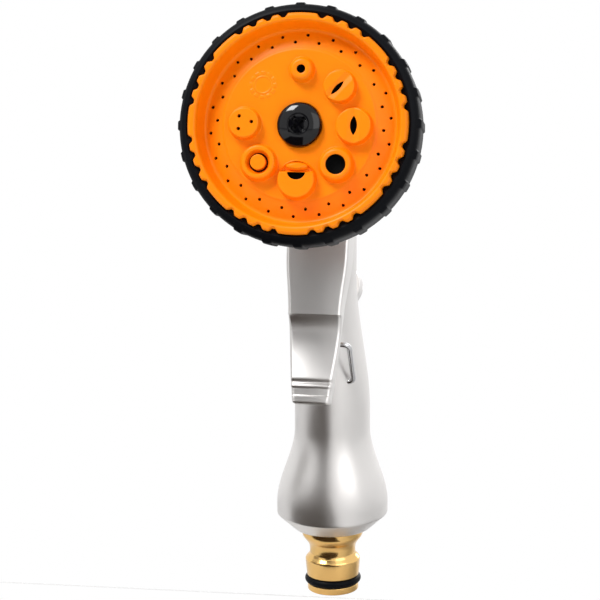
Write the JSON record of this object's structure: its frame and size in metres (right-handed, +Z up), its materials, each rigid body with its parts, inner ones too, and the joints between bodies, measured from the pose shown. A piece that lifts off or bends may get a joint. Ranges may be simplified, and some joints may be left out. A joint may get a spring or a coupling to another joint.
{
  "type": "hose spray nozzle",
  "caption": "Pistol-shaped garden hose spray nozzle with a turning pattern dial, a front trigger, a wire lock bail and a quick-connect hose plug.",
  "frame": {"origin": "on the hose plug's axis, at the middle of its nose", "axes": "+X to the right seen from the front, +Y back along the spray axis, +Z up from the plug to the dial; the water leaves along -Y"},
  "size_m": [0.0734, 0.1168, 0.1745],
  "materials": {
    "orange_plastic": "satin moulded plastic",
    "black_rubber": "soft matte rubber",
    "dark_plastic": "matte moulded plastic",
    "grey_plastic": "matte moulded plastic",
    "white_plastic": "matte moulded plastic",
    "black_enamel": "glossy black",
    "satin_nickel": "satin nickel on a die casting",
    "brass": "turned brass",
    "steel": "bright steel"
  },
  "bodies": {
    "body": {"body_casting": "satin_nickel", "outlet_plate": "grey_plastic", "plate_o_ring": "black_rubber", "plate_screws": "steel", "spindle": "brass", "face_screw": "black_enamel", "screw_washer": "steel", "port_seal": "black_rubber", "seal_spring": "steel", "detent_ball": "steel", "detent_spring": "steel", "trigger_pin": "steel", "gland_nut": "brass", "stem_o_ring": "black_rubber", "valve_seat": "brass", "valve_spring": "steel", "valve_cap": "satin_nickel", "cap_o_ring": "black_rubber", "hose_plug": "brass", "plug_o_ring": "black_rubber", "plug_washer": "black_rubber", "inlet_filter": "white_plastic"},
    "dial": {"spray_face": "orange_plastic", "grip_ring": "black_rubber", "chamber_plate": "dark_plastic", "cone_insert": "orange_plastic"},
    "trigger": {"trigger": "satin_nickel"},
    "valve": {"valve_stem": "brass", "valve_washer": "black_rubber", "washer_nut": "steel"},
    "lock_bail": {"lock_bail": "steel"}
  },
  "joints": [
    {"name": "dial_turn", "type": "hinge", "parent": "body", "child": "dial", "pos_m": [0, -0.10859, 0.13384], "axis": [0, -1, 0], "continuous": true},
    {"name": "trigger_squeeze", "type": "hinge", "parent": "body", "child": "trigger", "pos_m": [0, -0.05459, 0.10884], "axis": [1, 0, 0], "range_deg": [0, 17], "stiffness_Nm_per_rad": 1, "springref_deg": -8.59},
    {"name": "valve_slide", "type": "slide", "parent": "body", "child": "valve", "axis": [0, 1, 0], "range_m": [0, 0.0046], "deforming": ["valve_spring"]},
    {"name": "bail_swing", "type": "hinge", "parent": "body", "child": "lock_bail", "pos_m": [0, -0.03059, 0.06284], "axis": [1, 0, 0], "range_deg": [-20, 125]}
  ],
  "couplings": [
    {"joint": "valve_slide", "follows": "trigger_squeeze", "m_per_rad": 0.0151}
  ]
}
